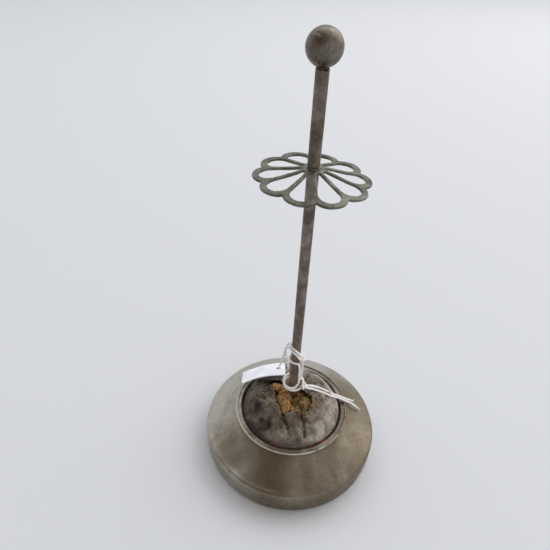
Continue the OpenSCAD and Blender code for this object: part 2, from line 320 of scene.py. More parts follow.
random.seed(11)
bm = bmesh.new()
for end, inner in ((thread_line[0], thread_line[6]), (thread_line[-1], thread_line[-7])):
    out = (end - inner).normalized()
    for i in range(16):
        side = Vector([random.uniform(-1, 1) for _ in range(3)])
        side = (side - out * side.dot(out)) * (0.55 if i % 2 else 0.95)
        reach = random.uniform(1.0, 2.3) * MM
        bend = [inner.lerp(end, 0.9) + side * 0.22 * MM,
                end + out * reach * 0.45 + side * reach * 0.3,
                end + out * reach * 0.8 + side * reach * 0.62 - Vector((0, 0, 0.12 * MM))]
        fine = [(0.11 * MM, 0), (-0.055 * MM, 0.095 * MM), (-0.055 * MM, -0.095 * MM)]
        sweep(bm, through(bend, 3),
              lambda i, share: [(x * (1 - 0.5 * share), y * (1 - 0.5 * share)) for x, y in fine])
fray = put("frayed_ends", bm, cotton_thread)

# %% [markdown]
# ## The card tag
# A small card with clipped corners and a punched hole, curled by damp. It starts as a fine grid: points
# near the hole and the corners are drawn on to their arcs, the faces inside the hole are deleted, and
# the sheet is bent before it gets its thickness. The old handwriting is left out.

# %% Tag
tag_length = 20 * MM
tag_width = 13 * MM
tag_thick = 0.3 * MM
hole = Vector((3 * MM, tag_width / 2, 0))
hole_r = 1.1 * MM
tag_pose = (Matrix.Translation(Vector((-6.5, 12, 30.8)) * MM) @ Matrix.Rotation(math.radians(185), 4, "Z")
            @ Matrix.Rotation(math.radians(8.5), 4, "Y") @ Matrix.Rotation(math.radians(21.5), 4, "X")
            @ Matrix.Translation(-hole))


def tag_curl(p):
    """The card's bend: its free end droops, and its low long edge rolls under."""
    along = p.x / tag_length
    low = 1 - p.y / tag_width
    p.z += (-1.6 * along ** 2 + 0.9 * math.sin(along * 3.4) * (1 - 0.4 * low)) * MM
    p.z -= 2.2 * max(0, low - 0.62) ** 1.6 * (0.4 + along) * MM * 2
    p.z += 0.25 * MM * blotch(p, 7 * MM, 4)


# Uncoated card has a blue cast and pulp for grain
card = white_fibres("uncoated_card", 6 * MM, 4.0, [(0.3, "#e2e5f2"), (0.6, "#f8f9fe")], 0.25 * MM, 0.25,
                    0.05 * MM, roughness=0.9)

bm = bmesh.new()
tag_size = Matrix.Diagonal((tag_length, tag_width, 1, 1))
bmesh.ops.create_grid(bm, x_segments=48, y_segments=32, size=0.5,
                      matrix=tag_size @ Matrix.Translation((0.5, 0.5, 0)))
inside = [f for f in bm.faces if (f.calc_center_median() - hole).length < hole_r * 0.92]
bmesh.ops.delete(bm, geom=inside, context="FACES")
for v in bm.verts:
    away = v.co - hole
    if v.is_boundary and away.length < hole_r * 1.5:
        v.co = hole + away.normalized() * hole_r
    for corner in (Vector((1, 1)), Vector((1, -1)), Vector((-1, 1)), Vector((-1, -1))):
        centre = Vector((tag_length / 2 + corner.x * (tag_length / 2 - 1.6 * MM),
                         tag_width / 2 + corner.y * (tag_width / 2 - 1.6 * MM), 0))
        off = v.co - centre
        if off.x * corner.x > 0 and off.y * corner.y > 0:
            reach = max(abs(off.x), abs(off.y))
            v.co = centre + off.normalized() * reach
for v in bm.verts:
    tag_curl(v.co)
bmesh.ops.recalc_face_normals(bm, faces=bm.faces)
bmesh.ops.solidify(bm, geom=bm.faces[:], thickness=tag_thick)
bmesh.ops.transform(bm, matrix=tag_pose, verts=bm.verts)
fresh_normals(bm)
tag = put("card_tag", bm, card, replaces=["price_tag"], smooth=False)

# %% [markdown]
# ## Tarnished metals
# The base, collar, disc and ball were silver plated over a cheap white metal, and a century of
# tarnish has turned them brown and olive, with paler patches where hands have rubbed. One function
# makes them all: a metal whose colour drifts between a dark tarnish and a rubbed tone, whose polish
# changes with it, and whose surface has fine scratches, pits and low bumps from wear.
# On the base, the collar and the collar's lip, a lean along one direction also paints reflected light into
# the colour.

# %% Tarnished metal material
def tarnished(name, dark, middle, pale, patch=14 * MM, rough=(0.34, 0.52), pits=0.5, painted_light_lean=None, rust=None):
    """Tarnished metal. The lean is a direction and two distances along it, in metres, over which the tone
    goes from dark to pale, as a painted reflection. rust is a colour, the height below which it spreads, and
    its reach."""
    material, tree = start_material(name, metallic=1.0)
    where = add_node(tree, "TexCoord").outputs["Object"]
    clouds = add_node(tree, "TexNoise", {"Vector": where, "Scale": 1 / patch, "Detail": 5.0,
                                         "Roughness": 0.6, "Distortion": 0.4})
    tone = clouds
    # Painted reflection: the tone grows paler along the lean's direction.
    if painted_light_lean:
        direction, low, high = painted_light_lean
        along = add_node(tree, "VectorMath", {0: where, 1: direction}, operation="DOT_PRODUCT")
        slope = add_node(tree, "MapRange", {"Value": along.outputs["Value"], "From Min": low,
                                            "From Max": high, "To Min": -0.24, "To Max": 0.3})
        tone = add_node(tree, "Math", {0: tone, 1: slope}, operation="ADD")
    colour = add_node(tree, "ValToRGB", {"Fac": tone}, stops=[(0.3, dark), (0.72, pale), (0.5, middle)])
    grit = add_node(tree, "TexNoise", {"Vector": where, "Scale": 1 / (1.1 * MM), "Detail": 6.0,
                                       "Roughness": 0.7})
    speck = add_node(tree, "ValToRGB", {"Fac": grit}, stops=[(0.34, 0.72), (0.5, 1.0)])
    colour = add_node(tree, "Mix", {0: 0.8, 6: colour, 7: speck}, data_type="RGBA",
                      blend_type="MULTIPLY").outputs[2]
    if rust:
        shade, top, reach = rust
        split = add_node(tree, "SeparateXYZ", {0: where})
        low = add_node(tree, "MapRange", {"Value": split.outputs["Z"], "From Min": top - reach,
                                          "From Max": top, "To Min": 0.62, "To Max": 0.0})
        bloom = add_node(tree, "TexNoise", {"Vector": where, "Scale": 1 / (2.6 * MM), "Detail": 6.0,
                                            "Roughness": 0.65})
        cover = add_node(tree, "Math", {0: bloom, 1: low}, operation="MULTIPLY")
        edge = add_node(tree, "MapRange", {"Value": cover, "From Min": 0.2, "From Max": 0.36})
        colour = add_node(tree, "Mix", {0: edge, 6: colour, 7: linear(shade)}, data_type="RGBA").outputs[2]
        dull = add_node(tree, "MapRange", {"Value": edge, "To Min": 1.0, "To Max": 0.45})
        link(tree, dull, tree.nodes["Principled BSDF"].inputs["Metallic"])
    polish = add_node(tree, "MapRange", {"Value": grit, "From Min": 0.3, "From Max": 0.7, "To Min": rough[1],
                                          "To Max": rough[0]})
    pit = add_node(tree, "TexVoronoi", {"Vector": where, "Scale": 1 / (1.7 * MM)})
    hollow = add_node(tree, "MapRange", {"Value": pit, "From Min": 0.05, "From Max": 0.22})
    height = add_node(tree, "Math", {0: grit, 1: hollow}, operation="ADD")
    bump = add_node(tree, "Bump", {"Height": height, "Strength": pits, "Distance": 0.03 * MM})
    return joined(material, colour, bump, polish)


# Painted reflection: the base is paler towards the back-left and towards its foot, where bright surroundings
# are reflected.
painted_reflection_way = Vector((-0.85, 0.6, -1.1))
plated_base = tarnished("tarnished_silver_plate", "#6f6251", "#8b8272", "#b5b0a7", patch=26 * MM,
                        painted_light_lean=(painted_reflection_way, -54 * MM, 16 * MM))
# Painted reflection on the collar: its tone is paler towards the back-left.
plated_collar = tarnished("rubbed_silver_plate", "#5f564b", "#7c7368", "#a5a098", patch=9 * MM,
                          painted_light_lean=(Vector((-0.4, 0.6, -1.1)), -44 * MM, 6 * MM))
# The lip's bright tone is partly plate rubbed bare and partly a painted highlight, paler towards the left
# and the front.
lip_rubbed_and_painted_highlight = tarnished("plate_rubbed_and_painted_highlight", "#5f574c", "#938a7e", "#c4bdb2", patch=7 * MM,
                       rough=(0.34, 0.48), painted_light_lean=(Vector((-0.7, -0.3, 0)), -22 * MM, 14 * MM))
cast_disc = tarnished("tarnished_white_metal", "#56534a", "#6d6b60", "#868479", patch=5 * MM,
                      rough=(0.4, 0.6))
turned_ball = tarnished("browned_white_metal", "#4d453c", "#6c645b", "#8b8379", patch=6 * MM,
                        rough=(0.3, 0.42))
upper_tube = tarnished("browned_steel_tube", "#50453d", "#71665c", "#958c82", patch=7 * MM,
                       rough=(0.42, 0.6))
rusty_tube = tarnished("rusted_steel_tube", "#5a4f48", "#7a6f67", "#9d948a", patch=7 * MM,
                       rough=(0.45, 0.65), rust=("#8a6546", 118 * MM, 90 * MM))
# Two tones of one washer material: the dark one is painted shade for the shaded gaps at the disc's hub and
# under the ball, the pale one a painted highlight for a light crescent at the hub.
washer_painted_shade = tarnished("steel_washer_painted_shade", "#2f2a25", "#423b34", "#5d554b", patch=2 * MM)
washer_painted_highlight = tarnished("tin_washer_painted_highlight", "#857d70", "#aaa498", "#cbc6bc", patch=2 * MM)

# %% [markdown]
# ## The base shell
# The shell was spun from sheet over a former, so it is made the same way here: its section is drawn
# once and spun round the stand's axis. The straight skirt rolls in at the bottom, a rounded shoulder
# turns into a cone, and the cone ends under the collar. Then it is aged: knocks have left shallow
# dents, and the left half of the shoulder has been pressed into a hard double edge.

# %% The section of the shell
base_r = 38 * MM
skirt_top = 9.6 * MM
shoulder_r = 2 * MM
cone = math.radians(34)
neck_r = 24 * MM
shell_top = 20 * MM
wall = 0.8 * MM


def arc(x, z, radius, start, end, count):
    """Points along an arc about (x, z), from one angle to another in degrees."""
    turns = [math.radians(start + (end - start) * i / count) for i in range(count + 1)]
    return [(x + radius * math.cos(a), z + radius * math.sin(a)) for a in turns]


def shell_line(inset):
    """The shell's outline from its rolled foot to its neck, drawn in by inset."""
    foot = arc(base_r - 1.65 * MM, 1.5 * MM, 1.2 * MM - inset, -90, 0, 5)
    skirt = [(base_r - 0.45 * MM - inset, 1.5 * MM), (base_r - 0.12 * MM - inset, 4 * MM),
             (base_r - inset, 6 * MM), (base_r - inset, 8 * MM)]
    shoulder = arc(base_r - shoulder_r, skirt_top, shoulder_r - inset, 0, 56, 8)
    last = Vector(shoulder[-1])
    end = Vector((neck_r + 0.7 * MM, shell_top - 0.7 * MM - inset * 0.7))
    slope = [tuple(last.lerp(end, i / 14)) for i in range(1, 14)]
    return foot[:-1] + skirt + shoulder + slope + [tuple(end), (neck_r, shell_top - inset * 0.4)]


def spun(section, steps):
    """A mesh from a closed section of (radius, height) points, spun once round the stand's axis."""
    bm = bmesh.new()
    corners = [bm.verts.new((x, 0, z)) for x, z in section]
    edges = [bm.edges.new((a, b)) for a, b in zip(corners, corners[1:] + corners[:1])]
    bmesh.ops.spin(bm, geom=corners + edges, cent=(0, 0, 0), axis=(0, 0, 1), angle=math.tau,
                   steps=steps, use_merge=True)
    fresh_normals(bm)
    return bm


mouth_r = 22.85 * MM
shell_section = (shell_line(0) + [(mouth_r, shell_top), (mouth_r, shell_top - wall)]
                 + shell_line(wall)[::-1])
print("points in the shell's section:", len(shell_section))

# %% Age the shell
knocks = [  # angle in degrees, radius in mm, reach across in mm, depth in mm
    (-128, 33.5, 5.5, 0.35), (-105, 35, 4, 0.3), (-58, 33, 2.6, 0.28), (-45, 36, 4.5, 0.3),
    (-162, 33, 6, 0.3), (160, 31, 5, 0.25), (20, 34, 5, 0.22), (70, 31, 6, 0.3),
    (-82, 30, 6, 0.18), (-20, 30, 7, 0.16), (205, 35, 3, 0.3), (100, 36, 5, 0.28),
    (-66, 27.5, 2, 0.14)]
punch_angles = (151, 158, 165)
punch_r = 28.6 * MM


def shell_wear(p):
    """Moves a point of the shell where it has been knocked, pressed or worn."""
    radius = math.hypot(p.x, p.y)
    if radius < 24.9 * MM:
        return
    angle = math.degrees(math.atan2(p.y, p.x))
    outward = Vector((p.x / radius, p.y / radius, 0))
    push = Vector((outward.x * math.sin(cone), outward.y * math.sin(cone), math.cos(cone)))
    free = ease(24.9 * MM, 27 * MM, radius)
    for turn, at, reach, depth in knocks:
        a = math.radians(turn)
        off = Vector((p.x - at * MM * math.cos(a), p.y - at * MM * math.sin(a), 0)).length / (reach * MM)
        if off < 1 and p.z > 5 * MM:
            p -= push * depth * MM * (1 - off * off) ** 2 * free
    p += push * (0.14 * blotch(p, 13 * MM, 1) + 0.05 * blotch(p, 4.5 * MM, 2)) * MM * free
    left = ease(18, 62, abs((angle + 128 + 180) % 360 - 180) * -1 + 80)
    edge = math.exp(-((radius - 37.0 * MM) ** 2 + (p.z - 11.1 * MM) ** 2) / (0.75 * MM) ** 2)
    p += (outward * 0.45 + Vector((0, 0, 0.5))) * MM * edge * left * (0.8 + 0.5 * blotch(p, 6 * MM, 7))


bm = spun(shell_section, 300)
for v in bm.verts:
    shell_wear(v.co)
for angle in punch_angles:
    a = math.radians(angle)
    centre = Vector((punch_r * math.cos(a), punch_r * math.sin(a), 0))
    near = [e for e in bm.edges if all((v.co.xy - centre.xy).length < 1.9 * MM and v.co.z > 12 * MM
                                       and v.normal.z > 0.3 for v in e.verts)]
    bmesh.ops.subdivide_edges(bm, edges=near, cuts=3, use_grid_fill=True)
    across = Vector((math.cos(a), math.sin(a), 0))
    along = Vector((-math.sin(a), math.cos(a), 0))
    for v in bm.verts:
        off = v.co - centre
        off.z = 0
        if off.length < 1.6 * MM and v.co.z > 12 * MM and v.normal.z > 0.3:
            long_way = 1 - ease(0.5, 0.85, abs(off.dot(along)) / MM)
            deep = long_way * (1 - ease(0.25, 0.5, abs(off.dot(across)) / MM))
            v.co.z -= 0.3 * MM * deep
fresh_normals(bm)
put("spun_base_shell", bm, plated_base, replaces=["base_shell"])

# %% Collar ring
ring_section = ([(22.2 * MM, shell_top), (24.3 * MM, shell_top)]
                + arc(24.25 * MM, shell_top + 0.3 * MM, 0.3 * MM, -90, 90, 6)
                + [(23.85 * MM, shell_top + 0.56 * MM), (23.4 * MM, shell_top + 0.62 * MM),
                   (22.8 * MM, shell_top + 0.8 * MM), (22.45 * MM, shell_top + 0.86 * MM),
                   (22.22 * MM, shell_top + 0.74 * MM), (22.2 * MM, shell_top + 0.5 * MM)])
bm = spun(ring_section, 240)
for v in bm.verts:
    lift = ease(shell_top + 0.2 * MM, shell_top + 1.2 * MM, v.co.z)
    v.co.z += lift * (0.12 * blotch(v.co, 12 * MM, 3) + 0.04 * blotch(v.co, 3 * MM, 5)) * MM
    v.co.xy += v.co.xy.normalized() * 0.08 * MM * blotch(v.co, 9 * MM, 6)
put("lipped_collar_ring", bm, plated_collar, replaces=["collar_ring"])

# The collar's lip: plate rubbed bare, with a painted highlight towards the left and the front.
bm = spun(arc(24.33 * MM, shell_top + 0.6 * MM, 0.33 * MM, 0, 345, 15), 240)
for v in bm.verts:
    v.co.xy += v.co.xy.normalized() * 0.06 * MM * blotch(v.co, 9 * MM, 6)
    v.co.z += 0.08 * MM * blotch(v.co, 14 * MM, 3)
put("collar_lip_rubbed_and_painted_highlight", bm, lip_rubbed_and_painted_highlight)

# %% [markdown]
# ## Velvet and sawdust
# The cushion is a round of cotton velvet drawn over packed sawdust. The velvet has lost its pile and
# its colour, and it has torn in front of the stem, where sawdust and straw spill out. Cloth under a
# little pressure from inside takes the soft swell of a stuffed cover, so a cloth simulation swells
# the dome first, by a millimetre at most, ten times life size because the solver is tuned for large
# things. The sinks, creases and the tear come after it, because they would be lost in it.

# %% Velvet material
def worn_velvet():
    """Cotton velvet with a short pile: matt, soft sheen, worn pale, painted highlight on its right rim,
    painted shade in hollows.
    """
    material, tree = start_material("worn_cotton_velvet", roughness=0.92, sheen_weight=0.3,
                                    sheen_roughness=0.45, specular_ior_level=0.25)
    where = add_node(tree, "TexCoord").outputs["Object"]
    mottle = add_node(tree, "TexNoise", {"Vector": where, "Scale": 1 / (5.5 * MM), "Detail": 7.0,
                                         "Roughness": 0.68, "Distortion": 0.6})
    # The attribute holds wear and painted light: a painted highlight on the right rim, painted shade in
    # creases, sinks, on the left and at the edge.
    wear_and_painted_light = add_node(tree, "Attribute", attribute_name="wear_and_painted_light")
    tone = add_node(tree, "Math", {0: mottle, 1: wear_and_painted_light.outputs["Fac"]}, operation="ADD")
    cloth = add_node(tree, "ValToRGB", {"Fac": tone}, stops=[(0.18, "#1f1813"), (0.95, "#b8aea3"),
                                                             (0.36, "#463b32"), (0.52, "#655a4f"),
                                                             (0.68, "#83796e")])
    pile = add_node(tree, "TexNoise", {"Vector": where, "Scale": 1 / (0.35 * MM), "Detail": 4.0})
    bump = add_node(tree, "Bump", {"Height": pile, "Strength": 0.7, "Distance": 0.12 * MM})
    return joined(material, cloth, bump)


def straw_and_dust(name, dark, middle, pale, grain=0.5 * MM):
    """Softwood sawdust and chopped straw: dry, matt, ochre to brown from grain to grain."""
    material, tree = start_material(name, roughness=0.95, specular_ior_level=0.2)
    where = add_node(tree, "TexCoord").outputs["Object"]
    drift = add_node(tree, "TexNoise", {"Vector": where, "Scale": 1 / (2.2 * MM), "Detail": 4.0})
    grains = add_node(tree, "TexVoronoi", {"Vector": where, "Scale": 1 / grain})
    split = add_node(tree, "SeparateXYZ", {0: grains.outputs["Color"]})
    mix = add_node(tree, "Math", {0: split, 1: 0.35, 2: drift}, operation="MULTIPLY_ADD")
    tint = add_node(tree, "ValToRGB", {"Fac": mix}, stops=[(0.35, dark), (1.0, pale), (0.65, middle)])
    bump = add_node(tree, "Bump", {"Height": grains, "Strength": 0.6, "Distance": 0.15 * MM})
    return joined(material, tint, bump)


velvet = worn_velvet()
sawdust = straw_and_dust("packed_sawdust", "#3a2b1e", "#6a5138", "#94744c")
ochre_sawdust = straw_and_dust("clumped_ochre_sawdust", "#7a5932", "#b08650", "#d2aa70", grain=0.35 * MM)
chopped_straw = straw_and_dust("chopped_straw", "#5a4326", "#94784c", "#cbb284", grain=0.9 * MM)
brown_crumbs = straw_and_dust("brown_sawdust_crumbs", "#3d2c1d", "#6f5537", "#a88a5c", grain=0.9 * MM)

# %% The cushion's crown
edge_r = 21.2 * MM
edge_z = 20.7 * MM
crown_z = 29.6 * MM
hub_r = 2.15 * MM


def crown(radius):
    """Height of the cushion's surface at a distance from the stem."""
    share = min(1.0, max(0.0, radius / edge_r))
    return edge_z + (crown_z - edge_z) * (1 - share ** 2.3) ** 0.72


def dome_section(inset, rings, floor_z):
    """Half of the cushion's section: out along the floor, up the side and in over the crown."""
    side = [(hub_r, floor_z), (edge_r * 0.6, floor_z), (edge_r - inset, floor_z),
            (edge_r - inset * 0.9, (floor_z + edge_z) / 2)]
    over = [(edge_r - inset) * math.cos(i / rings * math.pi / 2) + hub_r * (i / rings) ** 2
            for i in range(rings + 1)]
    return side + [(x, crown(x / (edge_r - inset) * edge_r) - inset) for x in over]


# %% Swell the velvet with a cloth simulation
def swell(bm, cap):
    """Lets pressure push the cover out, pinned at its rim and stem. cap is the most a point may move."""
    life = 10
    last_frame = 20
    data = bpy.data.meshes.new("cover_for_cloth")
    bm.to_mesh(data)
    data.transform(Matrix.Scale(life, 4))
    cover = bpy.data.objects.new("cover_for_cloth", data)
    bpy.context.collection.objects.link(cover)
    pins = cover.vertex_groups.new(name="pins")
    for v in data.vertices:
        radius = math.hypot(v.co.x, v.co.y) / life
        hold = 1 if radius < 3.2 * MM or radius > edge_r * 0.985 or v.co.z / life < edge_z else 0
        pins.add([v.index], hold, "REPLACE")
    cloth = cover.modifiers.new("cloth", "CLOTH")
    cloth.settings.vertex_group_mass = "pins"
    cloth.settings.use_pressure = True
    cloth.settings.uniform_pressure_force = 3.0
    cloth.settings.shrink_min = -0.05
    cloth.settings.tension_stiffness = 25
    cloth.settings.bending_stiffness = 0.8
    cloth.settings.effector_weights.gravity = 0
    cloth.point_cache.frame_end = last_frame
    for frame_number in range(1, last_frame + 1):
        bpy.context.scene.frame_set(frame_number)
    swollen = cover.evaluated_get(bpy.context.evaluated_depsgraph_get()).to_mesh()
    furthest = 0
    for v, s in zip(bm.verts, swollen.vertices):
        push = s.co / life - v.co
        furthest = max(furthest, push.length)
        v.co += push * min(1, cap / max(push.length, 1e-9))
    bpy.context.scene.frame_set(1)
    bpy.data.objects.remove(cover)
    print("the cloth moved", round(furthest / MM, 2), "mm at most, capped at", cap / MM)


# %% Tears, creases and sinks, in millimetres seen from above
tear = [(-2.0, 2.2), (-5.5, 6.2), (-9.6, 6.8), (-11.2, 4.6), (-9.0, 2.4), (-8.0, -1.0), (-7.0, -4.6),
        (-5.2, -9.4), (-3.6, -12.6), (-1.6, -10.4), (1.2, -9.8), (4.4, -9.8), (7.6, -8.4), (9.0, -5.0),
        (8.8, -1.2), (5.6, 1.2), (2.2, 2.4)]
creases = [  # points along the crease, its depth and its half width
    ([(-3.6, -11.0), (-3.2, -13.6), (-1.9, -15.2), (-1.0, -17.6)], 0.7, 0.7),
    ([(4.3, -8.8), (4.1, -11.6), (5.2, -14.2), (5.6, -18.0)], 0.62, 0.6),
    ([(-9.5, 4.0), (-13.4, 7.4), (-17.0, 8.4)], 0.5, 0.8),
    ([(9.0, -3.0), (13.5, -1.0), (18.0, 2.0)], 0.2, 1.0),
    ([(-6.4, -8.0), (-8.6, -11.5), (-9.6, -14.4)], 0.2, 0.9),
    ([(2.5, 3.0), (6.5, 9.5), (8.5, 16.0)], 0.5, 0.9),
    ([(0.6, -16.4), (2.4, -19.4)], 0.2, 0.7), ([(9.2, -9.0), (12.4, -13.4), (13.0, -16.4)], 0.16, 1.0)]


def segment_distance(p, a, b):
    a, b = Vector(a), Vector(b)
    t = max(0, min(1, (p - a).dot(b - a) / (b - a).length_squared))
    return (p - a - (b - a) * t).length


def inside_tear(x, y):
    """Whether a point, in millimetres, is in the torn opening, whose edge is ragged."""
    x += 0.55 * noise.noise(Vector((x, y, 3)) * 1.1) + 0.3 * noise.noise(Vector((x, y, 8)) * 2.7)
    y += 0.55 * noise.noise(Vector((x, y, 5)) * 1.1)
    crossed = False
    for (x1, y1), (x2, y2) in zip(tear, tear[1:] + tear[:1]):
        if (y1 > y) != (y2 > y) and x < x1 + (y - y1) / (y2 - y1) * (x2 - x1):
            crossed = not crossed
    return crossed


random.seed(5)
sinks = [(math.radians(random.uniform(0, 360)), edge_r * math.sqrt(random.uniform(0.05, 0.9)),
          random.uniform(0.35, 0.8), random.uniform(0.25, 0.7)) for _ in range(90)]
sinks = [(r * math.cos(a) / MM, r * math.sin(a) / MM, wide, deep) for a, r, wide, deep in sinks]
sinks += [(-14.6, -5.8, 1.5, 0.9), (-12.7, -2.3, 1.2, 0.7), (-10.6, -14.5, 1.6, 0.6), (13.4, 8.0, 1.4, 0.7)]


def cover_wear_and_painted_light(p):
    """Sinks, creases and lumps of the old cover. Gives the point's new place, and how worn it looks, with
    painted light and shade.
    """
    flat = Vector((p.x, p.y)) / MM
    top = ease(edge_z - 0.3 * MM, edge_z + 1.5 * MM, p.z)
    lumps = 0.42 * blotch(p, 6.5 * MM, 2) + 0.24 * blotch(p, 2.6 * MM, 9) + 0.1 * blotch(p, 1.1 * MM, 4)
    wear_and_painted_light = 0.28 * lumps
    drop = -lumps
    for line, depth, half in creases:
        away = min(segment_distance(flat, a, b) for a, b in zip(line, line[1:]))
        away += 0.5 * noise.noise(Vector((flat.x, flat.y, 1)) * 1.3)
        dip = math.exp(-(away / half) ** 2)
        drop += depth * dip - 0.3 * depth * math.exp(-((away - 1.7 * half) / half) ** 2)
        # Painted shade: darker down in the crease.
        wear_and_painted_light -= 0.46 * depth * dip
    for x, y, wide, deep in sinks:
        away = math.hypot(flat.x - x, flat.y - y) / wide
        if away < 2.5:
            drop += deep * math.exp(-away * away)
            # Painted shade: darker down in the sink.
            wear_and_painted_light -= 0.34 * deep * math.exp(-away * away)
    # Painted highlight on the right rim, which faces the window; a little paler towards the front and the
    # back; painted shade on the left and at the outer edge by the collar.
    painted_highlight_right_rim = ease(7, 19, flat.dot(Vector((0.93, -0.36)))) * ease(8, 17, flat.length)
    front_rim = ease(13, 19, -flat.y)
    back_rim = ease(3, 17, flat.y)
    painted_shade_left_and_edge = ease(2, 18, -flat.x) * 0.08 + ease(20.2, 21.2, flat.length) * 0.14
    wear_and_painted_light += 0.3 * painted_highlight_right_rim + 0.1 * front_rim + 0.14 * back_rim + 0.04 - painted_shade_left_and_edge
    p.z -= drop * MM * top
    return wear_and_painted_light


# %% Velvet cover
bm = spun(dome_section(0, 54, 18.4 * MM), 216)
swell(bm, 1.1 * MM)
# The layer holds real wear and painted light and shade together.
wear_and_light_layer = bm.verts.layers.float.new("wear_and_painted_light")
for v in bm.verts:
    v[wear_and_light_layer] = cover_wear_and_painted_light(v.co)
torn = [f for f in bm.faces if f.calc_center_median().z > 23 * MM
        and inside_tear(f.calc_center_median().x / MM, f.calc_center_median().y / MM)]
bmesh.ops.delete(bm, geom=torn, context="FACES")
for v in bm.verts:
    if v.is_boundary:
        v.co.z += 0.35 * MM + 0.45 * MM * blotch(v.co, 1.6 * MM, 3)
        v.co.xy += v.co.xy.normalized() * 0.3 * MM * blotch(v.co, 0.9 * MM, 12)
        v[wear_and_light_layer] += 0.16
bmesh.ops.recalc_face_normals(bm, faces=bm.faces)
bmesh.ops.solidify(bm, geom=bm.faces[:], thickness=0.35 * MM)
bmesh.ops.recalc_face_normals(bm, faces=bm.faces)
cover = put("velvet_cover", bm, velvet, replaces=["cushion_cover"])

# %% Sawdust bed and the clumps that bulge out of it
bm = spun(dome_section(1.1 * MM, 84, 18.5 * MM), 260)
for v in bm.verts:
    if v.co.z > 22 * MM:
        v.co.z += (0.3 * blotch(v.co, 1.5 * MM, 1) + 0.28 * blotch(v.co, 0.6 * MM, 6) - 0.35) * MM
bed = put("sawdust_bed", bm, sawdust, replaces=["cushion_stuffing"])

clumps = [  # centre and half sizes in mm, and turn in degrees
    ((-3.1, -4.0, 29.3), (2.9, 5.6, 2.3), 4), ((-6.2, 2.6, 28.9), (3.3, 1.9, 1.5), 148),
    ((-3.2, -8.2, 28.2), (1.6, 2.5, 1.6), 8), ((3.6, -4.2, 28.4), (3.4, 2.8, 1.3), 20),
    ((6.4, -5.6, 28.0), (1.9, 2.0, 1.3), 60), ((0.9, -7.4, 28.1), (2.4, 1.7, 1.2), 0)]
bm = bmesh.new()
for (x, y, z), half, turn in clumps:
    made = bmesh.ops.create_icosphere(bm, subdivisions=5, radius=MM)["verts"]
    for v in made:
        ripple = 1 + 0.18 * blotch(v.co, 0.6 * MM, x) + 0.08 * blotch(v.co, 0.2 * MM, y)
        v.co = Vector((v.co.x * half[0], v.co.y * half[1], v.co.z * half[2])) * ripple
        v.co += Vector((1, 1, 1.4)) * 0.16 * MM * blotch(v.co, 0.5 * MM, z)
    bmesh.ops.transform(bm, verts=made, matrix=Matrix.Translation(Vector((x, y, z)) * MM)
                        @ Matrix.Rotation(math.radians(turn), 4, "Z"))
clump = put("sawdust_clumps", bm, ochre_sawdust, replaces=["stuffing_tuft"])

# %% Straw and crumbs
def tree_of(piece):
    shape = bmesh.new()
    shape.from_mesh(piece.data)
    tree = BVHTree.FromBMesh(shape)
    shape.free()
    return tree


beneath = [tree_of(piece) for piece in (cover, bed, clump)]


def surface_point(x, y, above):
    """A point, given in millimetres, that lies on whatever is highest at that place."""
    start = Vector((x * MM, y * MM, 50 * MM))
    hits = [tree.ray_cast(start, Vector((0, 0, -1)))[0] for tree in beneath]
    top = max([hit.z for hit in hits if hit], default=crown(math.hypot(x, y) * MM))
    return Vector((x * MM, y * MM, top + above * MM))


random.seed(23)
bm = bmesh.new()
for i in range(230):
    if i < 170:
        x, y = random.gauss(4.6, 2.5), random.gauss(-5.2, 2.9)
    else:
        x, y = random.gauss(-5.0, 3.2), random.gauss(-1.5, 4.6)
    heading = random.uniform(0, math.tau)
    long = random.uniform(1.2, 4.6) if i % 4 else random.uniform(4.0, 6.5)
    rise = random.uniform(-0.3, 1.5)
    bend = random.uniform(-0.8, 0.8)
    spots = []
    for k in range(5):
        t = k / 4
        turn = heading + bend * (t - 0.5)
        above = 0.1 + rise * math.sin(t * math.pi * random.uniform(0.7, 1.0))
        spots.append(surface_point(x + math.cos(turn) * long * (t - 0.5),
                                   y + math.sin(turn) * long * (t - 0.5), above))
    thick = random.uniform(0.07, 0.15) * MM
    sweep(bm, spots, lambda i, share: [(thick, 0), (0, thick * 0.5), (-thick, 0), (0, -thick * 0.5)])
put("straw_fibres", bm, chopped_straw)

bm = bmesh.new()
for i in range(250):
    if i < 190:
        x, y = random.gauss(0.5, 5.2), random.gauss(-4.2, 4.6)
    else:
        angle, radius = random.uniform(0, math.tau), 20 * math.sqrt(random.uniform(0.02, 1))
        x, y = radius * math.cos(angle), radius * math.sin(angle)
    if not 2.6 < math.hypot(x, y) < 20.3:
        continue
    size = random.uniform(0.12, 0.3) * MM
    grain = bmesh.ops.create_icosphere(bm, subdivisions=1, radius=size)["verts"]
    for v in grain:
        v.co += Vector([random.uniform(-0.35, 0.35) * size for _ in range(3)])
    bmesh.ops.translate(bm, verts=grain, vec=surface_point(x, y, 0.12))
put("sawdust_crumbs", bm, brown_crumbs, smooth=False)

# %% [markdown]
# ## Crimson piping
# Under the rim, out of the light, the velvet kept its first colour. A strip of it is tucked into the
# groove between cushion and collar, and shows only where it has worked loose, so the tube's height
# wanders as it goes round. Where it sits low in the groove its colour is painted dark, as painted shade.

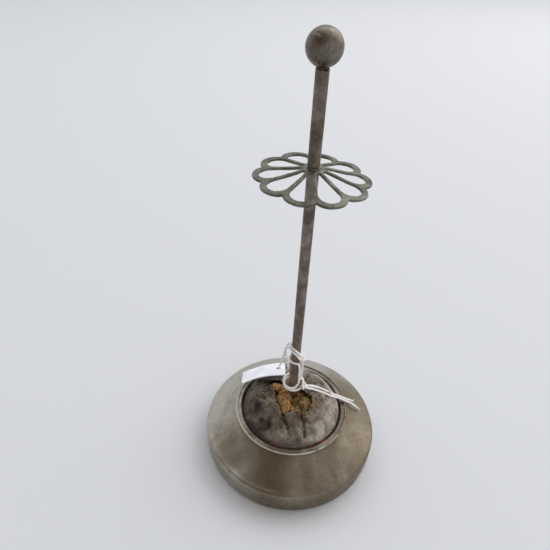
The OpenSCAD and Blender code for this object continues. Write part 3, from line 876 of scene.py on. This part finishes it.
# %% Piping
def crimson():
    """Cotton velvet that kept its crimson dye, dusty in patches, painted dark as shade where it sits low."""
    material, tree = start_material("crimson_cotton_velvet", roughness=0.9, sheen_weight=0.4,
                                    specular_ior_level=0.2)
    where = add_node(tree, "TexCoord").outputs["Object"]
    dust = add_node(tree, "TexNoise", {"Vector": where, "Scale": 1 / (5 * MM), "Detail": 5.0})
    # Painted shade: the lower the tube sits in the groove, the darker its colour.
    above_painted_shade_node = add_node(tree, "Attribute", attribute_name="height_above_painted_shade")
    tone = add_node(tree, "Math", {0: above_painted_shade_node.outputs["Fac"], 1: 0.28, 2: dust}, operation="MULTIPLY_ADD")
    dye = add_node(tree, "ValToRGB", {"Fac": tone}, stops=[(0.54, "#2a1a16"), (0.8, "#96303f"),
                                                           (0.65, "#4a1f22")])
    pile = add_node(tree, "TexNoise", {"Vector": where, "Scale": 1 / (0.3 * MM), "Detail": 3.0})
    bump = add_node(tree, "Bump", {"Height": pile, "Strength": 0.8, "Distance": 0.1 * MM})
    return joined(material, dye, bump)


groove_r, groove_z = 21.68, 19.7
piping_line = []
for i in range(260):
    a = i * math.tau / 260
    loose = sum(math.exp(-(((math.degrees(a) - at + 180) % 360 - 180) / width) ** 2)
                for at, width in ((252, 6), (300, 9), (140, 5)))
    wander = 0.15 * noise.noise(Vector((math.cos(a), math.sin(a), 0)) * 5)
    reach = groove_r - 0.2 * loose
    piping_line.append(Vector((reach * math.cos(a), reach * math.sin(a),
                               groove_z + 1.1 * min(1, loose) + wander)) * MM)
bm = bmesh.new()
sweep(bm, piping_line, plies(0.5 * MM, 0.52 * MM, lay=9 * MM, lobes=2, points=12), closed=True)
fresh_normals(bm)
# Painted shade: the attribute goes from 0 low in the groove to 1 where the tube has risen out of it.
height_above_painted_shade = bm.verts.layers.float.new("height_above_painted_shade")
for v in bm.verts:
    v[height_above_painted_shade] = ease(19.9 * MM, 21.0 * MM, v.co.z)
put("crimson_piping", bm, crimson(), replaces=["velvet_piping"])

# %% [markdown]
# ## The pierced disc
# The disc was cut from sheet, and decades of use have rounded its edges and bent it a little. The
# engineering model has the right outline with sharp edges, so a copy of it is made into an even skin of
# small faces by a voxel remesh, smoothed until the edges are soft, and bent.

# %% Disc
bm = bmesh.new()
bm.from_mesh(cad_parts["pin_disc"].data)
fresh_normals(bm)
data = bpy.data.meshes.new("disc_copy")
bm.to_mesh(data)
bm.free()
rough_disc = bpy.data.objects.new("disc_copy", data)
bpy.context.collection.objects.link(rough_disc)
skin = rough_disc.modifiers.new("skin", "REMESH")
skin.mode = "VOXEL"
skin.voxel_size = 0.2 * MM
soften = rough_disc.modifiers.new("soften", "SMOOTH")
soften.factor = 0.5
soften.iterations = 7
bm = bmesh.new()
bm.from_object(rough_disc, bpy.context.evaluated_depsgraph_get())
bpy.data.objects.remove(rough_disc)
for v in bm.verts:
    radius = math.hypot(v.co.x, v.co.y)
    free = ease(4 * MM, 12 * MM, radius)
    v.co.z += free * (-0.035 * v.co.x + 0.3 * MM * blotch(v.co, 15 * MM, 2)
                      + 0.05 * MM * blotch(v.co, 3 * MM, 4))
put("petal_disc", bm, cast_disc, body="disc", replaces=["pin_disc"])

# %% [markdown]
# ## Ball, stem and washers
# The ball is a sphere drawn into a short neck, with pits from a poor casting. The upper tube is
# ragged at its top, where a burr has been bent over and shines. The lower tube, the rod, the nut and
# the washers have the right shape already, so they keep their meshes and get better materials.

# %% Ball
ball_low, ball_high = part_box("ball_finial")
ball_r = (ball_high.x - ball_low.x) / 2
ball_z = ball_high.z - ball_r
bore_r = 1.16 * MM
ball_line = [(bore_r, ball_low.z), (1.75 * MM, ball_low.z), (1.95 * MM, ball_low.z + 0.12 * MM)]
for i in range(1, 57):
    a = math.radians(-66 + 156 * i / 56)
    ball_line.append((max(ball_r * math.cos(a), 0), ball_z + ball_r * math.sin(a)))
ball_line += [(0, ball_low.z + 5.8 * MM), (bore_r, ball_low.z + 5.8 * MM)]
bm = spun(ball_line, 128)
random.seed(3)
pits = [(Vector([random.gauss(0, 1) for _ in range(3)]).normalized(), random.uniform(0.18, 0.5) * MM,
         random.uniform(0.05, 0.16) * MM) for _ in range(46)]
centre = Vector((0, 0, ball_z))
for v in bm.verts:
    away = v.co - centre
    if away.length > ball_r * 0.97:
        depth = sum(deep * math.exp(-((away - way * ball_r).length / wide) ** 2) for way, wide, deep in pits)
        v.co -= away.normalized() * (depth - 0.03 * MM * blotch(v.co, 2.5 * MM, 8))
put("ball", bm, turned_ball, body="finial", replaces=["ball_finial"])

# %% Upper tube with a ragged top
tube_low, tube_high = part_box("upper_stem")
tube_r = 1.94 * MM
tube_line = [(bore_r, tube_low.z), (tube_r - 0.12 * MM, tube_low.z), (tube_r, tube_low.z + 0.12 * MM)]
tube_line += [(tube_r, tube_low.z + (tube_high.z - tube_low.z) * i / 60) for i in range(1, 60)]
tube_line += [(tube_r, tube_high.z - 0.15 * MM), (tube_r - 0.15 * MM, tube_high.z), (bore_r, tube_high.z)]
bm = spun(tube_line, 72)
for v in bm.verts:
    top = ease(tube_high.z - 1.0 * MM, tube_high.z, v.co.z)
    out = Vector((v.co.x, v.co.y, 0)).normalized()
    chip = math.exp(-((math.degrees(math.atan2(v.co.y, v.co.x)) + 62) / 22) ** 2)
    v.co += out * top * MM * (0.1 * blotch(v.co, 0.9 * MM, 5) + 0.22 * chip)
    v.co.z -= top * MM * 0.3 * chip
    v.co += out * 0.03 * MM * blotch(v.co, 5 * MM, 3)
put("upper_tube", bm, upper_tube, replaces=["upper_stem"])

# %% Plain materials for what is inside and underneath
def felt():
    """Green baize: pressed wool felt, matt, with short loose hairs."""
    material, tree = start_material("green_wool_baize", roughness=1.0, sheen_weight=0.5)
    where = add_node(tree, "TexCoord").outputs["Object"]
    hair = add_node(tree, "TexNoise", {"Vector": where, "Scale": 1 / (0.5 * MM), "Detail": 5.0,
                                       "Distortion": 2.0})
    fade = add_node(tree, "TexNoise", {"Vector": where, "Scale": 1 / (12 * MM), "Detail": 3.0})
    blend = add_node(tree, "Math", {0: hair, 1: 0.5, 2: fade}, operation="MULTIPLY_ADD")
    tint = add_node(tree, "ValToRGB", {"Fac": blend}, stops=[(0.5, "#1f3529"), (1.0, "#4c6a55"),
                                                             (0.75, "#2f4a39")])
    bump = add_node(tree, "Bump", {"Height": hair, "Strength": 0.7, "Distance": 0.2 * MM})
    return joined(material, tint, bump)


def millboard():
    """Grey-brown millboard, pressed from pulp, with flecks."""
    material, tree = start_material("pressed_millboard", roughness=0.95)
    where = add_node(tree, "TexCoord").outputs["Object"]
    fleck = add_node(tree, "TexNoise", {"Vector": where, "Scale": 1 / (0.8 * MM), "Detail": 6.0})
    tint = add_node(tree, "ValToRGB", {"Fac": fleck}, stops=[(0.35, "#6d5941"), (0.65, "#a08866")])
    return joined(material, tint)


lead = tarnished("cast_lead", "#3d3f43", "#5b5d60", "#7c7e82", patch=6 * MM, rough=(0.5, 0.7))
tinned = tarnished("tinned_sheet", "#77736a", "#98948a", "#b9b5aa", patch=8 * MM, rough=(0.3, 0.5))
cast_brass = tarnished("turned_brass", "#6a5a30", "#957f4c", "#b9a26a", patch=4 * MM, rough=(0.3, 0.5))
rod_steel = tarnished("drawn_steel_rod", "#5c5853", "#7d7871", "#a09b93", patch=4 * MM, rough=(0.3, 0.45))
pin_steel = tarnished("rusted_pin_steel", "#463d37", "#6a5f56", "#958b80", patch=1 * MM, rough=(0.2, 0.35))
# The washers carry the painted shade and the painted highlight made above.
kept = {"lower_stem": rusty_tube, "disc_seat_washer": washer_painted_shade, "disc_top_washer": washer_painted_highlight,
        "finial_washer": washer_painted_shade, "tie_rod": rod_steel, "rod_nut": rod_steel, "rod_washer": tinned,
        "stem_socket": cast_brass, "cushion_cup": tinned, "base_weight": lead, "base_plate": tinned,
        "baize_pad": felt(), "cushion_board": millboard(), "broken_pins": pin_steel}
for node_name, material in kept.items():
    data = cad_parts[node_name].data
    data.materials.clear()
    data.materials.append(material)
print("engineering pieces with new materials:", len(kept))

# %% [markdown]
# ## The floor and the light
# The stand is on a pale sheet in soft daylight. The light comes from the right and from behind, so the
# soft shadow lies to the left. Tarnished metal mostly shows what is around it, so the surroundings
# matter as much as the lamp: pale all round, but for the darker shape of the viewer, in front
# and a little to the left.

# %% Floor
floor_material, _ = start_material("matt_paper_floor", roughness=0.9, specular_ior_level=0.15,
                                   base_color=linear("#e0e3e8"))
bm = bmesh.new()
bmesh.ops.create_grid(bm, x_segments=2, y_segments=2, size=6)
data = bpy.data.meshes.new("floor")
bm.to_mesh(data)
bm.free()
data.materials.append(floor_material)
floor = bpy.data.objects.new("floor", data)
bpy.context.collection.objects.link(floor)


# %% Daylight
def soft_light(name, place, size, watts, colour):
    """A square lamp that faces the stand."""
    lamp = bpy.data.lights.new(name, "AREA")
    lamp.size = size
    lamp.energy = watts
    lamp.color = linear(colour)[:3]
    holder = bpy.data.objects.new(name, lamp)
    aim = (Vector((0, 0, 0.05)) - Vector(place)).to_track_quat("-Z", "Y")
    holder.matrix_world = Matrix.Translation(place) @ aim.to_matrix().to_4x4()
    bpy.context.collection.objects.link(holder)


soft_light("window", (1.15, 0.8, 1.15), 1.5, 11.5, "#fffbf5")
soft_light("sky_fill", (-0.25, 0.75, 1.5), 1.8, 5.5, "#fbfcff")

world = bpy.data.worlds.new("room")
bpy.context.scene.world = world
world.use_nodes = True
tree = world.node_tree
toward = add_node(tree, "TexCoord").outputs["Generated"]
viewer = Vector((-0.42, -0.48, 0.77)).normalized()
facing = add_node(tree, "VectorMath", {0: toward, 1: viewer}, operation="DOT_PRODUCT")
room = add_node(tree, "ValToRGB", {"Fac": facing.outputs["Value"]}, stops=[(0.45, "#eceff3"),
                                                                           (0.97, "#7a6d5e"),
                                                                           (0.8, "#b3ada6")])
link(tree, room, tree.nodes["Background"].inputs["Color"])
tree.nodes["Background"].inputs["Strength"].default_value = 0.99
